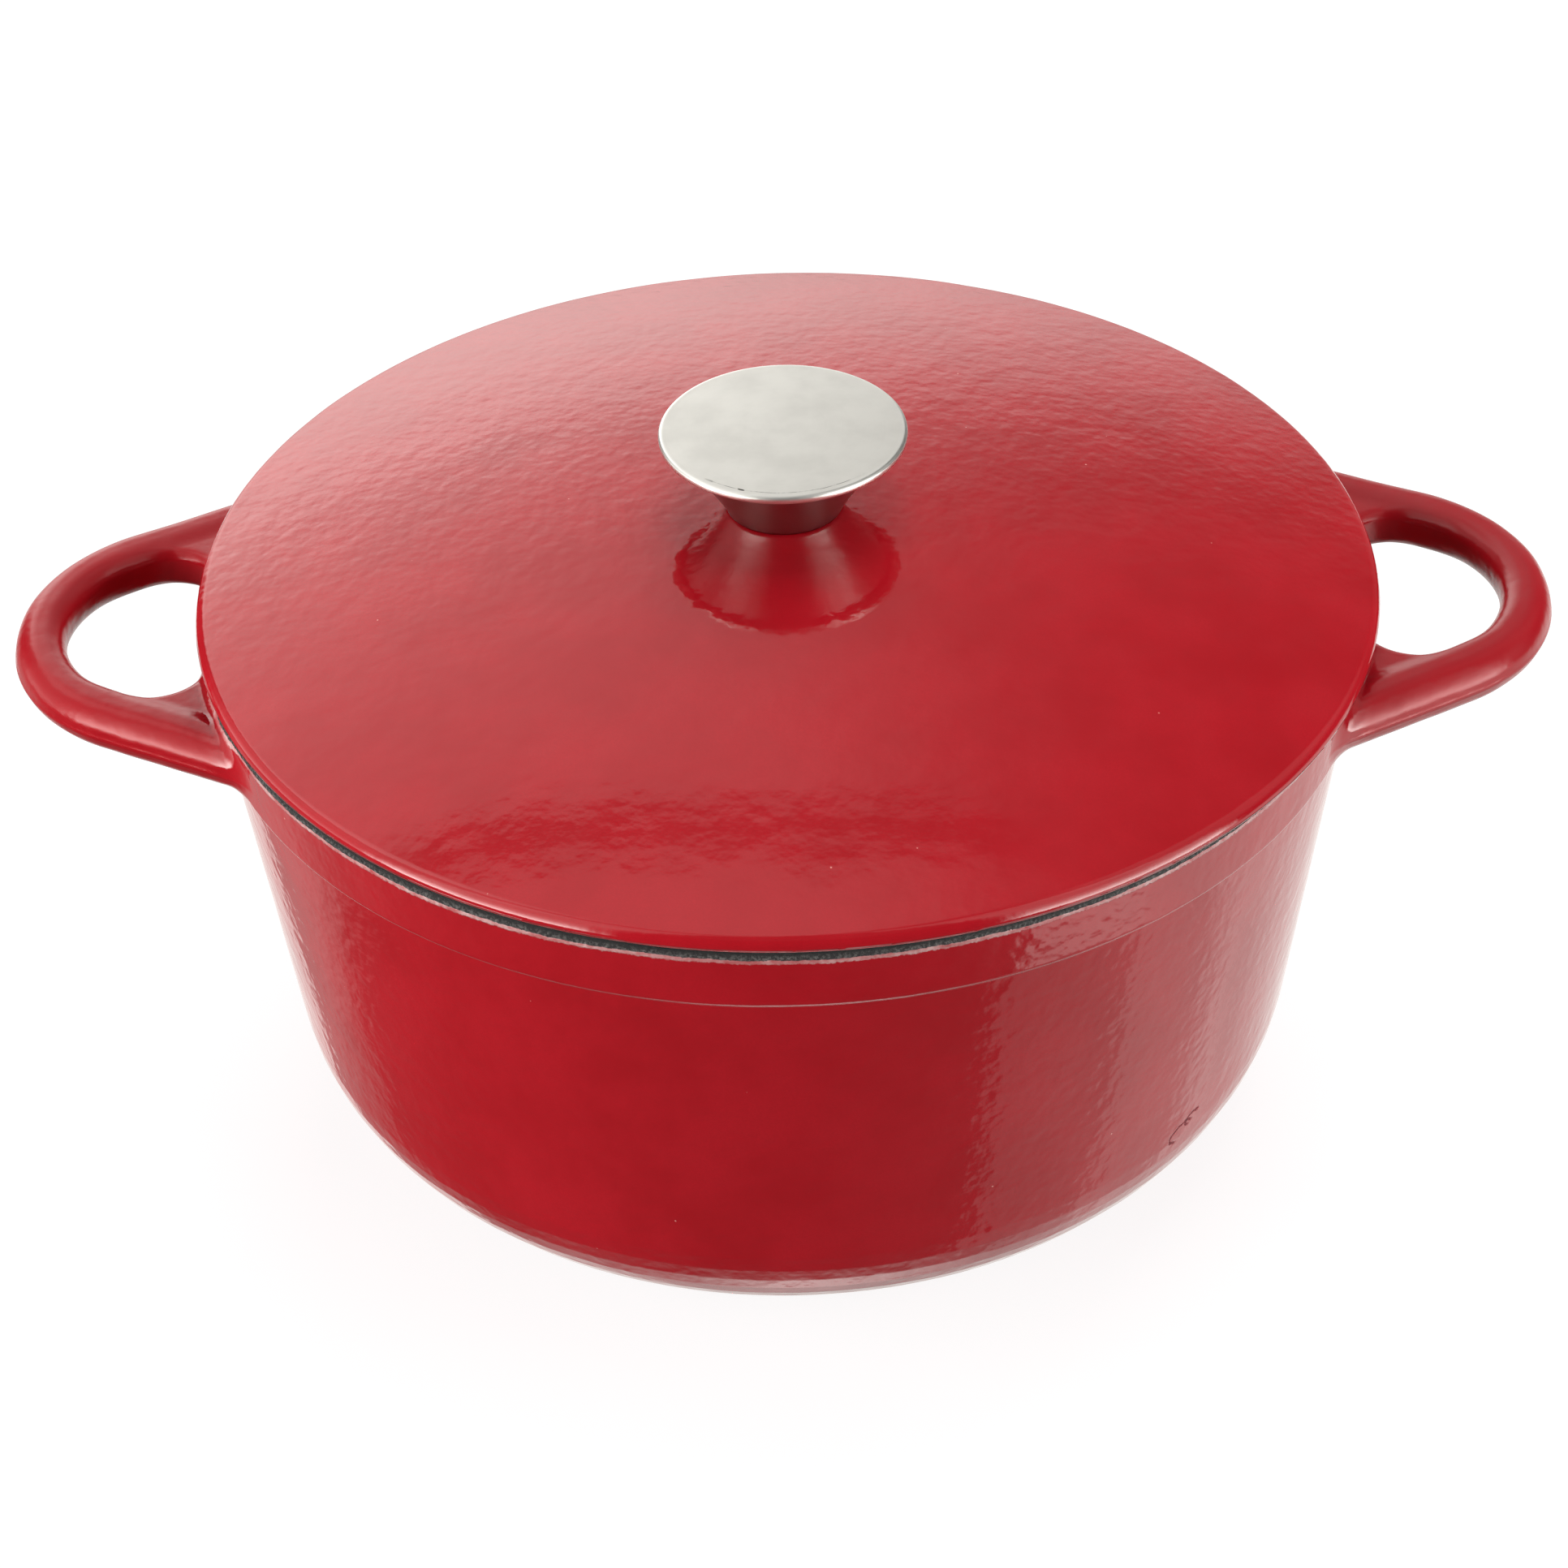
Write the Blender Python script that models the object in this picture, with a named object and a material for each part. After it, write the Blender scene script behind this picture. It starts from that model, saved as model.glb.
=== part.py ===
"""Cast iron dutch oven: an enamelled round pot with two loop handles, and a domed lid with a steel knob.

Metres, +Z up. The pot stands on z = 0 with its axis on X = Y = 0, and the handles point along +X and -X.
The lid rests on the rim, a little to one side within the play that its locating lip leaves.
"""
import math

import bmesh
import bpy
from mathutils import Matrix, Vector

# Pot casting
RIM_RADIUS = 0.1342          # outer radius at the rim's outer edge
RIM_SEAT_HEIGHT = 0.1318     # height of the flat ring that the lid rests on
RIM_ROUNDING = 0.0028        # round shoulder outside the seat
BAND_BOTTOM = 0.1160         # lower edge of the thicker band below the rim
BAND_BOTTOM_RADIUS = 0.1335
BAND_STEP = 0.0012           # height over which the band runs out into the wall
WALL_TOP_RADIUS = 0.1320     # wall's outer radius just under the band
WALL_DRAFT = math.radians(7.6)
BASE_FILLET = 0.0365         # outer radius between wall and flat base
WALL = 0.0044                # thickness of wall and base
MOUTH_RADIUS = 0.1275        # inner radius at the rim
MOUTH_RUN = 0.0040           # height over which the inner wall turns upright
INNER_ROUNDING = 0.0008
WALL_MIDDLE = 0.0800         # an extra ring half way up the wall keeps its facets even

# Loop handles, cast in one with the pot
HANDLE_REACH = 0.1783        # outermost point, from the pot's axis
HANDLE_WIDTH = 0.0120
HANDLE_HEIGHT = 0.0118
HANDLE_MIDDLE = 0.1220       # height of the bar's centre line
HANDLE_BEND = 0.0370         # radius of the centre line's bend
HANDLE_BEND_ANGLE = math.radians(61.5)
HANDLE_FILLET = 0.0125       # radius in plan between an arm's inner side and the wall
HANDLE_EDGE = 0.0050         # how far the bar's sides are rounded
HANDLE_SIDE_STEPS = 6        # facets round each side of the bar
ROOT_DEPTH = 0.0030          # how far the arms run into the wall

# Lid
LID_SHIFT = 0.0009           # the lid sits this far towards +X
LID_RADIUS = 0.13615
LID_DOME = 0.5010            # radius of the dome's sphere
LID_TOP = 0.1541             # height of the flat pad under the knob
LID_PAD_RADIUS = 0.0150
LID_EDGE_UPPER = 0.0028      # rounding above and below the lid's widest line
LID_EDGE_LOWER = 0.0012
LID_RING_SHARES = (0.30, 0.48, 0.66, 0.83)    # where the dome's facets meet
LID_THICKNESS = 0.0045
LIP_OUTER = 0.1250           # locating lip inside the pot's mouth
LIP_INNER = 0.1210
LIP_BOTTOM = 0.1266
LIP_TAPER = 0.0008
LIP_CHAMFER = 0.0009
BOSS_RADIUS = 0.0120         # thicker middle round the screw hole
BOSS_BOTTOM = 0.1476
BOSS_TAPER = 0.0030
BUMP_RADIUS = 0.0042         # drip bumps under the lid
BUMP_DEPTH = 0.0016
BUMP_RINGS = ((0.045, 6), (0.074, 10), (0.101, 14))

# Knob and its screw
KNOB_RADIUS = 0.0282
KNOB_EDGE_HEIGHT = 0.1737    # height of the cap's upper edge
KNOB_CROWN = 0.0011          # how far the cap is domed
KNOB_EDGE = 0.0011           # radius of the cap's rolled edge
KNOB_EDGE_DROP = 0.0009      # how far the rolled edge's centre lies under its upper line
CAP_RING_SHARES = (0.0, 0.35, 0.65, 0.88)
CAP_THICKNESS = 0.0012
STEM_BASE_RADIUS = 0.0135
STEM_TOP_RADIUS = 0.0258
STEM_FLARE = 1.6             # power of the trumpet's curve
STEM_THICKNESS = 0.0010      # at the foot; the stem gets thicker upwards
STEM_THICKENING = 0.0006
STEM_STEPS = 7
INSERT_FLANGE = 0.0118
INSERT_BOSS = 0.0056
INSERT_FLANGE_THICKNESS = 0.0015
INSERT_HEIGHT = 0.0125
SCREW_RADIUS = 0.00285
SCREW_HOLE = 0.0032
SCREW_LENGTH = 0.0205
HEAD_RADIUS = 0.0055
HEAD_FLAT_RADIUS = 0.0041
HEAD_HEIGHT = 0.0034
HEAD_BEVEL = 0.0015          # height of the slope round the head
SLOT_LENGTH = 0.0165
SLOT_WIDTH = 0.0014
SLOT_DEPTH = 0.0016
TIP_CHAMFER = 0.0006
FLAT_WASHER = (0.0090, 0.0012)    # outer radius, thickness
LOCK_WASHER = (0.0054, 0.0015)
LOCK_WASHER_SPLIT = math.radians(14)

FULL_TURN = 2 * math.pi
GAP = 0.0003                 # between pieces that rest on each other
ROUND = 60                   # segments round the pot and the lid
SMALL_ROUND = 24             # segments round the knob's pieces
LOCK_WASHER_TOP = BOSS_BOTTOM - GAP - FLAT_WASHER[1] - GAP


def clear_scene():
    for obj in list(bpy.data.objects):
        bpy.data.objects.remove(obj)


def material(name, colour, roughness, metallic):
    mat = bpy.data.materials.new(name)
    mat.use_nodes = True
    shader = mat.node_tree.nodes["Principled BSDF"]
    shader.inputs["Base Color"].default_value = (*colour, 1.0)
    shader.inputs["Roughness"].default_value = roughness
    shader.inputs["Metallic"].default_value = metallic
    return mat


def arc(centre, radius, start, end, steps):
    """Points on a circle from start to end, in degrees measured from the profile's first axis."""
    points = []
    for i in range(steps + 1):
        angle = math.radians(start + (end - start) * i / steps)
        points.append((centre[0] + radius * math.cos(angle), centre[1] + radius * math.sin(angle)))
    return points


def make_object(name, bm, mat):
    bmesh.ops.recalc_face_normals(bm, faces=bm.faces)
    mesh = bpy.data.meshes.new(name)
    bm.to_mesh(mesh)
    bm.free()
    mesh.shade_smooth()
    mesh.set_sharp_from_angle(angle=math.radians(35))
    obj = bpy.data.objects.new(name, mesh)
    obj.data.materials.append(mat)
    bpy.context.collection.objects.link(obj)
    return obj


def lathe(name, profile, mat, segments, closed, axis_x=0.0, sweep=FULL_TURN):
    """Turn a profile of (radius, height) points round a vertical axis at X = axis_x.

    An open profile starts and ends on the axis. A closed one goes round a hole, and is split if it
    sweeps less than a full turn.
    """
    bm = bmesh.new()
    verts = [bm.verts.new((axis_x + r, 0.0, z)) for r, z in profile]
    if sweep < FULL_TURN:
        section = [bm.faces.new(verts)]
    else:
        following = verts[1:] + verts[:1] if closed else verts[1:]
        section = verts + [bm.edges.new(pair) for pair in zip(verts, following)]
    bmesh.ops.spin(bm, geom=section, cent=(axis_x, 0, 0), axis=(0, 0, 1), angle=sweep, steps=segments)
    bmesh.ops.remove_doubles(bm, verts=bm.verts, dist=1e-6)
    return make_object(name, bm, mat)


def helper(obj):
    """Mark an object that only cuts or joins another one."""
    obj.hide_render = True
    obj.display_type = "WIRE"
    return obj


def boolean(target, operand, operation):
    modifier = target.modifiers.new(operand.name, "BOOLEAN")
    modifier.operation = operation
    modifier.solver = "EXACT"
    modifier.object = helper(operand)


def wall_radius(height, inset=0.0):
    """Outer radius of the tapered wall, or of the face that lies inset behind it."""
    radius = WALL_TOP_RADIUS + (height - BAND_BOTTOM) * math.tan(WALL_DRAFT)
    return radius - inset / math.cos(WALL_DRAFT)


def bowl_profile(inset):
    """Base, base fillet and wall of the pot's outside, moved inwards by inset."""
    fillet_radius = BASE_FILLET - inset
    centre = (wall_radius(BASE_FILLET) - BASE_FILLET / math.cos(WALL_DRAFT), BASE_FILLET)
    return [(0.0, inset)] + arc(centre, fillet_radius, -90, -math.degrees(WALL_DRAFT), 7)


def pot_outside():
    """Solid outer form of the pot, without its cavity."""
    rim_centre = (RIM_RADIUS - RIM_ROUNDING, RIM_SEAT_HEIGHT - RIM_ROUNDING)
    profile = bowl_profile(0.0)
    profile += [(wall_radius(WALL_MIDDLE), WALL_MIDDLE)]
    profile += [(wall_radius(BAND_BOTTOM - BAND_STEP), BAND_BOTTOM - BAND_STEP)]
    profile += [(BAND_BOTTOM_RADIUS, BAND_BOTTOM)]
    profile += arc(rim_centre, RIM_ROUNDING, 0, 90, 4)
    profile += [(0.0, RIM_SEAT_HEIGHT)]
    return profile


def pot_cavity():
    """Solid form that is taken out of the pot, running past the rim."""
    round_centre = (MOUTH_RADIUS + INNER_ROUNDING, RIM_SEAT_HEIGHT - INNER_ROUNDING)
    profile = bowl_profile(WALL)
    profile += [(wall_radius(WALL_MIDDLE, WALL), WALL_MIDDLE)]
    profile += [(wall_radius(BAND_BOTTOM, WALL), BAND_BOTTOM)]
    profile += [(MOUTH_RADIUS, BAND_BOTTOM + MOUTH_RUN)]
    profile += arc(round_centre, INNER_ROUNDING, 180, 90, 2)
    above_rim = RIM_SEAT_HEIGHT + WALL
    profile += [(MOUTH_RADIUS + INNER_ROUNDING, above_rim), (0.0, above_rim)]
    return profile


def handle_edges():
    """Outer and inner edge of one half of the loop in plan, from the tip to the wall, at +X and +Y."""
    bend_centre = HANDLE_REACH - HANDLE_WIDTH / 2 - HANDLE_BEND
    half = HANDLE_WIDTH / 2
    degrees = math.degrees(HANDLE_BEND_ANGLE)
    outer = [Vector(p) for p in arc((bend_centre, 0.0), HANDLE_BEND + half, 0, degrees, 7)]
    inner = [Vector(p) for p in arc((bend_centre, 0.0), HANDLE_BEND - half, 0, degrees, 7)]
    along = Vector((-math.sin(HANDLE_BEND_ANGLE), math.cos(HANDLE_BEND_ANGLE)))
    inward = Vector((-along.y, along.x))

    # The fillet touches the arm's inner side and a circle as wide as the band
    start = inner[-1] + inward * HANDLE_FILLET
    reach = BAND_BOTTOM_RADIUS + HANDLE_FILLET
    b = start.dot(along)
    run = -b - math.sqrt(b * b - start.length_squared + reach * reach)
    centre = start + along * run
    inner_touch = inner[-1] + along * run
    outer_touch = outer[-1] + along * run
    outer.append(outer_touch)
    inner.append(inner_touch)

    to_arm = math.degrees(math.atan2(-inward.y, -inward.x))
    to_wall = math.degrees(math.atan2(-centre.y, -centre.x)) % 360
    fillet = arc(tuple(centre), HANDLE_FILLET, to_arm, to_wall, 5)[1:]
    b = outer_touch.dot(along)
    wall_run = -b - math.sqrt(b * b - outer_touch.length_squared + BAND_BOTTOM_RADIUS ** 2)
    for i, point in enumerate(fillet, start=1):
        inner.append(Vector(point))
        outer.append(outer_touch + along * wall_run * i / len(fillet))
    for edge in (outer, inner):
        edge.append(edge[-1] - edge[-1].normalized() * ROOT_DEPTH)
    return outer, inner


def handle_section(outer, inner):
    """Rounded bar between an outer and an inner edge point in plan."""
    across = (outer - inner).normalized()
    half = HANDLE_HEIGHT / 2
    ring = []
    for edge, side in ((outer, 1), (inner, -1)):
        for i in range(HANDLE_SIDE_STEPS + 1):
            angle = math.pi * (i / HANDLE_SIDE_STEPS - 0.5) * side
            point = edge + across * side * HANDLE_EDGE * (math.cos(angle) - 1)
            ring.append((point.x, point.y, HANDLE_MIDDLE + half * math.sin(angle)))
    return ring


def handle(name, side, mat):
    """Closed loop of sections from one wall root round the tip to the other."""
    outer, inner = handle_edges()
    half = [handle_section(o, i) for o, i in zip(outer, inner)]
    mirrored = [[(x, -y, z) for x, y, z in ring] for ring in half[:0:-1]]
    bm = bmesh.new()
    rings = [[bm.verts.new((side * x, y, z)) for x, y, z in ring] for ring in mirrored + half]
    count = len(rings[0])
    for a, b in zip(rings, rings[1:]):
        for i in range(count):
            j = (i + 1) % count
            bm.faces.new((a[i], a[j], b[j], b[i]))
    bm.faces.new(rings[0])
    bm.faces.new(rings[-1])
    return make_object(name, bm, mat)


def make_pot(mat):
    pot = lathe("pot", pot_outside(), mat, ROUND, closed=False)
    for name, side in (("handle_right", 1), ("handle_left", -1)):
        boolean(pot, handle(name, side, mat), "UNION")
    boolean(pot, lathe("pot_cavity", pot_cavity(), mat, ROUND, closed=False), "DIFFERENCE")
    return pot


def dome_height(radius, inset=0.0):
    """Height of the lid's domed face at a radius, or of the face inset below it."""
    sphere = LID_DOME - inset
    return LID_TOP - LID_DOME + math.sqrt(sphere * sphere - radius * radius)


def lid_profile():
    """Closed section of the lid, from the screw hole over the top and back underneath."""
    seat = RIM_SEAT_HEIGHT + GAP
    edge_height = seat + LID_EDGE_LOWER
    upper_centre = (LID_RADIUS - LID_EDGE_UPPER, edge_height)
    lower_centre = (LID_RADIUS - LID_EDGE_LOWER, edge_height)
    hole = SCREW_HOLE + GAP
    rings = [LID_RADIUS * share for share in LID_RING_SHARES]
    profile = [(hole, LID_TOP), (LID_PAD_RADIUS, LID_TOP)]
    profile += [(r, dome_height(r)) for r in rings]
    profile += arc(upper_centre, LID_EDGE_UPPER, 72, 0, 4)
    profile += arc(lower_centre, LID_EDGE_LOWER, 0, -90, 2)[1:]
    profile += [(LIP_OUTER + LIP_TAPER, seat), (LIP_OUTER, LIP_BOTTOM + LIP_CHAMFER)]
    profile += [(LIP_OUTER - LIP_CHAMFER, LIP_BOTTOM), (LIP_INNER + LIP_CHAMFER, LIP_BOTTOM)]
    profile += [(LIP_INNER, LIP_BOTTOM + LIP_CHAMFER)]
    profile += [(LIP_INNER - LIP_TAPER, dome_height(LIP_INNER, LID_THICKNESS) - LIP_CHAMFER)]
    profile += [(r, dome_height(r, LID_THICKNESS)) for r in rings[::-1]]
    profile += [(BOSS_RADIUS + BOSS_TAPER, dome_height(BOSS_RADIUS, LID_THICKNESS))]
    profile += [(BOSS_RADIUS, BOSS_BOTTOM), (hole, BOSS_BOTTOM)]
    return profile


def drip_bumps(mat):
    """Low round bumps under the lid, in rings, all in one helper object."""
    bm = bmesh.new()
    for ring_radius, count in BUMP_RINGS:
        base = dome_height(ring_radius, LID_THICKNESS)
        for i in range(count):
            angle = 2 * math.pi * (i + 0.5) / count
            place = Vector((LID_SHIFT + ring_radius * math.cos(angle), ring_radius * math.sin(angle), base))
            squash = Matrix.Diagonal((BUMP_RADIUS, BUMP_RADIUS, BUMP_DEPTH, 1.0))
            turn = Matrix.Rotation(angle, 4, "Z")
            bmesh.ops.create_uvsphere(bm, u_segments=8, v_segments=4, radius=1.0,
                                      matrix=Matrix.Translation(place) @ turn @ squash)
    return make_object("drip_bumps", bm, mat)


def make_lid(mat):
    lid = lathe("lid", lid_profile(), mat, ROUND, closed=True, axis_x=LID_SHIFT)
    boolean(lid, drip_bumps(mat), "UNION")
    return lid


def make_knob_cap(mat):
    """Domed disc with a rolled edge that closes the top of the knob."""
    edge_centre = (KNOB_RADIUS - KNOB_EDGE, KNOB_EDGE_HEIGHT - KNOB_EDGE_DROP)
    flat_radius = KNOB_RADIUS - KNOB_EDGE
    top = [(flat_radius * f, KNOB_EDGE_HEIGHT + KNOB_CROWN * (1 - f * f)) for f in CAP_RING_SHARES]
    under = edge_centre[1] - KNOB_EDGE
    profile = top + arc(edge_centre, KNOB_EDGE, 75, -90, 6)
    profile += [(STEM_TOP_RADIUS + GAP, under), (STEM_TOP_RADIUS + GAP, KNOB_EDGE_HEIGHT - CAP_THICKNESS)]
    profile += [(0.0, KNOB_EDGE_HEIGHT - CAP_THICKNESS + KNOB_CROWN)]
    return lathe("knob_cap", profile, mat, SMALL_ROUND, closed=False, axis_x=LID_SHIFT)


def stem_radius(share):
    """Outer radius of the trumpet-shaped stem at a share of its height."""
    return STEM_BASE_RADIUS + (STEM_TOP_RADIUS - STEM_BASE_RADIUS) * share ** STEM_FLARE


def stem_bore(share):
    return stem_radius(share) - STEM_THICKNESS - STEM_THICKENING * share


def make_knob_stem(mat):
    """Thin trumpet between the lid and the cap."""
    bottom = LID_TOP + GAP
    height = KNOB_EDGE_HEIGHT - CAP_THICKNESS - GAP - bottom
    shares = [i / STEM_STEPS for i in range(STEM_STEPS + 1)]
    outer = [(stem_radius(s), bottom + height * s) for s in shares]
    inner = [(stem_bore(s), bottom + height * s) for s in shares[::-1]]
    return lathe("knob_stem", outer + inner, mat, SMALL_ROUND, closed=True, axis_x=LID_SHIFT)


def make_knob_insert(mat):
    """Threaded core that fills the stem's foot and takes the screw."""
    bottom = LID_TOP + GAP
    hole = SCREW_RADIUS + GAP
    shoulder = bottom + INSERT_FLANGE_THICKNESS
    top = bottom + INSERT_HEIGHT
    profile = [(hole, bottom), (INSERT_FLANGE, bottom), (INSERT_FLANGE, shoulder)]
    profile += [(INSERT_BOSS, shoulder), (INSERT_BOSS, top), (hole, top)]
    return lathe("knob_insert", profile, mat, SMALL_ROUND, closed=True, axis_x=LID_SHIFT)


def flat_ring(name, size, top, mat, sweep=FULL_TURN):
    """Ring round the screw, from its upper face down; size is its outer radius and thickness."""
    radius, thickness = size
    bottom = top - thickness
    profile = [(SCREW_HOLE, bottom), (radius, bottom), (radius, top), (SCREW_HOLE, top)]
    return lathe(name, profile, mat, SMALL_ROUND, closed=True, axis_x=LID_SHIFT, sweep=sweep)


def make_flat_washer(mat):
    return flat_ring("flat_washer", FLAT_WASHER, BOSS_BOTTOM - GAP, mat)


def make_lock_washer(mat):
    """Split spring washer between the flat washer and the screw's head."""
    return flat_ring("lock_washer", LOCK_WASHER, LOCK_WASHER_TOP, mat, FULL_TURN - LOCK_WASHER_SPLIT)


def make_knob_screw(mat):
    """Slotted screw that comes up through the lid into the knob."""
    head_top = LOCK_WASHER_TOP - LOCK_WASHER[1] - GAP
    head_bottom = head_top - HEAD_HEIGHT
    tip = head_top + SCREW_LENGTH
    profile = [(0.0, head_bottom), (HEAD_FLAT_RADIUS, head_bottom)]
    profile += [(HEAD_RADIUS, head_bottom + HEAD_BEVEL), (HEAD_RADIUS, head_top)]
    profile += [(SCREW_RADIUS, head_top), (SCREW_RADIUS, tip - TIP_CHAMFER)]
    profile += [(SCREW_RADIUS - TIP_CHAMFER, tip), (0.0, tip)]
    screw = lathe("knob_screw", profile, mat, SMALL_ROUND, closed=False, axis_x=LID_SHIFT)
    bm = bmesh.new()
    size = Matrix.Diagonal((SLOT_LENGTH, SLOT_WIDTH, SLOT_DEPTH * 2, 1.0))
    place = Matrix.Translation((LID_SHIFT, 0.0, head_bottom))
    bmesh.ops.create_cube(bm, size=1.0, matrix=place @ size)
    boolean(screw, make_object("screw_slot", bm, mat), "DIFFERENCE")
    return screw


def build():
    clear_scene()
    enamel = material("red_enamel", (0.42, 0.012, 0.018), 0.12, 0.0)
    steel = material("satin_steel", (0.62, 0.61, 0.58), 0.25, 1.0)
    zinc = material("plated_steel", (0.55, 0.55, 0.56), 0.35, 1.0)
    make_pot(enamel)
    make_lid(enamel)
    make_knob_cap(steel)
    make_knob_stem(steel)
    make_knob_insert(zinc)
    make_flat_washer(zinc)
    make_lock_washer(zinc)
    make_knob_screw(zinc)


build()
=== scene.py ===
import math

import bpy
import numpy as np
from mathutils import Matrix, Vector


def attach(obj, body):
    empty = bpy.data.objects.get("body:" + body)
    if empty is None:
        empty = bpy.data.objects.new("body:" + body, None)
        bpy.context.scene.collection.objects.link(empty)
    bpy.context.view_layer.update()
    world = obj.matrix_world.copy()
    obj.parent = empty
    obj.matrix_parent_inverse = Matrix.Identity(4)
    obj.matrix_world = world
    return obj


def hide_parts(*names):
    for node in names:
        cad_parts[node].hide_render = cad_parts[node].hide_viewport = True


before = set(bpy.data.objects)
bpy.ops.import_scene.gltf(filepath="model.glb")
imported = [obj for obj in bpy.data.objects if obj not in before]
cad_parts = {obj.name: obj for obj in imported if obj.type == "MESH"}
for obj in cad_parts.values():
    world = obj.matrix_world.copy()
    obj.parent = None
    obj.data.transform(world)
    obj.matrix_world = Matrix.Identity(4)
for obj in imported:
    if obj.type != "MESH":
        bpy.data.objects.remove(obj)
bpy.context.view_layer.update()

MM = 0.001
SEGMENTS = 384               # round the pot and the lid
KNOB_SEGMENTS = 192
LID_AXIS = 0.9               # the lid and its knob sit this far towards +X

# Pot
DRAFT = math.tan(math.radians(7.6))
WALL_TOP = (131.82, 114.7)
BASE_CORNER = (116.52, 0.0)
RIM_TOP = 131.8
MOUTH = 127.5
BAND_EDGE = (133.48, 115.9)
RIM_CORNER = (134.33, RIM_TOP)
INNER_BASE_CORNER = (112.67, 4.4)

# Loop handles
HANDLE_TIP = 178.3
BAR_HALF_WIDTH = 5.9
BAR_HALF_HEIGHT = 5.7
BAR_MIDDLE = 122.2
BEND = 37.0
BEND_ANGLE = math.radians(61.5)
BEND_CENTRE = HANDLE_TIP - BAR_HALF_WIDTH - BEND
WEB_FILLET = 12.5
WEB_HALF_HEIGHT = 5.0
WEB_BLEND = 2.4
WEB_EDGE = 3.0                # the web ends inside the bar, this far outwards of its centre line
WEB_RUN = 16.0               # the web widens over this much of the bar before its fillet starts
ROOT_FILLET = 2.6
ROOT_SPREAD = math.radians(27.6)      # the handle's skin starts to sink into the wall at this angle
ROOT_LIMIT = math.radians(31.0)
BAND_RADIUS = 133.6
WEB_EDGE_ROUNDING = 2.8
NET_CELL = 0.66
NET_LOW, NET_HIGH = (109.0, -70.0, 107.6), (179.5, 70.0, 132.4)

# Lid
DOME = 501.0
LID_TOP = 154.1
LID_THICKNESS = 4.5
LID_RADIUS = 136.15
SEAT = 132.1
BUMP_RINGS = ((45.0, 6), (74.0, 10), (101.0, 14))
BUMP_RADIUS = 4.6
BUMP_DEPTH = 1.6
SCREW_HOLE = 3.5

# Knob
CAP_RADIUS = 28.2
CAP_BOTTOM = 171.7
CAP_EDGE_TOP = 173.75
CAP_TOP = 174.8
CAP_CROWN = 1.06             # how far the cap's top is domed
STEM_TOP = 172.2
STEM_FOOT = 13.4
STEM_FLARE = 12.2
WASHER_HOLE = 3.2
SLOT_HALF_WIDTH = 0.7


def waves(points, wavelength, seed, count=20):
    """Smooth noise with a spread of about 1: plane waves in random directions near one wavelength."""
    rng = np.random.default_rng(seed)
    total = np.zeros(len(points))
    for _ in range(count):
        direction = rng.normal(size=3)
        direction /= np.linalg.norm(direction)
        turns = points @ direction / (wavelength * rng.uniform(0.7, 1.6))
        total += np.sin(2 * math.pi * (turns + rng.uniform()))
    return total / math.sqrt(count / 2)


def casting_waviness(points):
    """How far enamelled cast iron strays from its ideal surface, in millimetres."""
    return 0.012 * waves(points, 34.0, 11) + 0.010 * waves(points, 12.0, 12)


# ---------------------------------------------------------------- meshes

def make_mesh(name, points, faces, materials, indices=None, normals=None):
    mesh = bpy.data.meshes.new(name)
    mesh.from_pydata((np.asarray(points) * MM).tolist(), [], faces)
    for material in materials:
        mesh.materials.append(material)
    if indices is not None:
        mesh.polygons.foreach_set("material_index", np.asarray(indices, dtype=np.int32))
    mesh.shade_smooth()
    if normals is not None:
        mesh.normals_split_custom_set_from_vertices(normals.tolist())
    mesh.update()
    obj = bpy.data.objects.new(name, mesh)
    bpy.context.collection.objects.link(obj)
    return obj


def rounded(corners, closed=False, step=7.0):
    """Points along corners given as (radius, height, rounding), with each corner rounded off."""
    points = []
    count = len(corners)
    for k, (x, z, rounding) in enumerate(corners):
        if rounding == 0 or (not closed and k in (0, count - 1)):
            points.append((x, z))
            continue
        corner = np.array((x, z))
        back = np.array(corners[k - 1][:2]) - corner
        ahead = np.array(corners[(k + 1) % count][:2]) - corner
        back /= np.linalg.norm(back)
        ahead /= np.linalg.norm(ahead)
        half = math.acos(np.clip(back @ ahead, -1, 1)) / 2
        middle = (back + ahead) / np.linalg.norm(back + ahead)
        centre = corner + middle * rounding / math.sin(half)
        start = corner + back * rounding / math.tan(half) - centre
        end = corner + ahead * rounding / math.tan(half) - centre
        first = math.atan2(start[1], start[0])
        sweep = (math.atan2(end[1], end[0]) - first + math.pi) % (2 * math.pi) - math.pi
        steps = max(3, math.ceil(abs(sweep) / math.radians(step)))
        for i in range(steps + 1):
            angle = first + sweep * i / steps
            points.append((centre[0] + rounding * math.cos(angle), centre[1] + rounding * math.sin(angle)))
    return points


def graded(points, fine, coarse, closed=False):
    """Fills long runs with points that lie close at both ends of the run, so that shading stays even."""
    filled = []
    ends = points[1:] + points[:1] if closed else points[1:]
    for a, b in zip(points, ends):
        a, b = np.array(a), np.array(b)
        length = np.linalg.norm(b - a)
        steps, reach, gap = [], fine, fine
        while reach < length / 2:
            steps.append(reach)
            gap = min(gap * 1.5, coarse)
            reach += gap
        shares = [0.0] + [s / length for s in steps] + [1 - s / length for s in steps[::-1]]
        filled += [tuple(a + (b - a) * s) for s in shares]
    if not closed:
        filled.append(points[-1])
    return np.array(filled)


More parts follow.
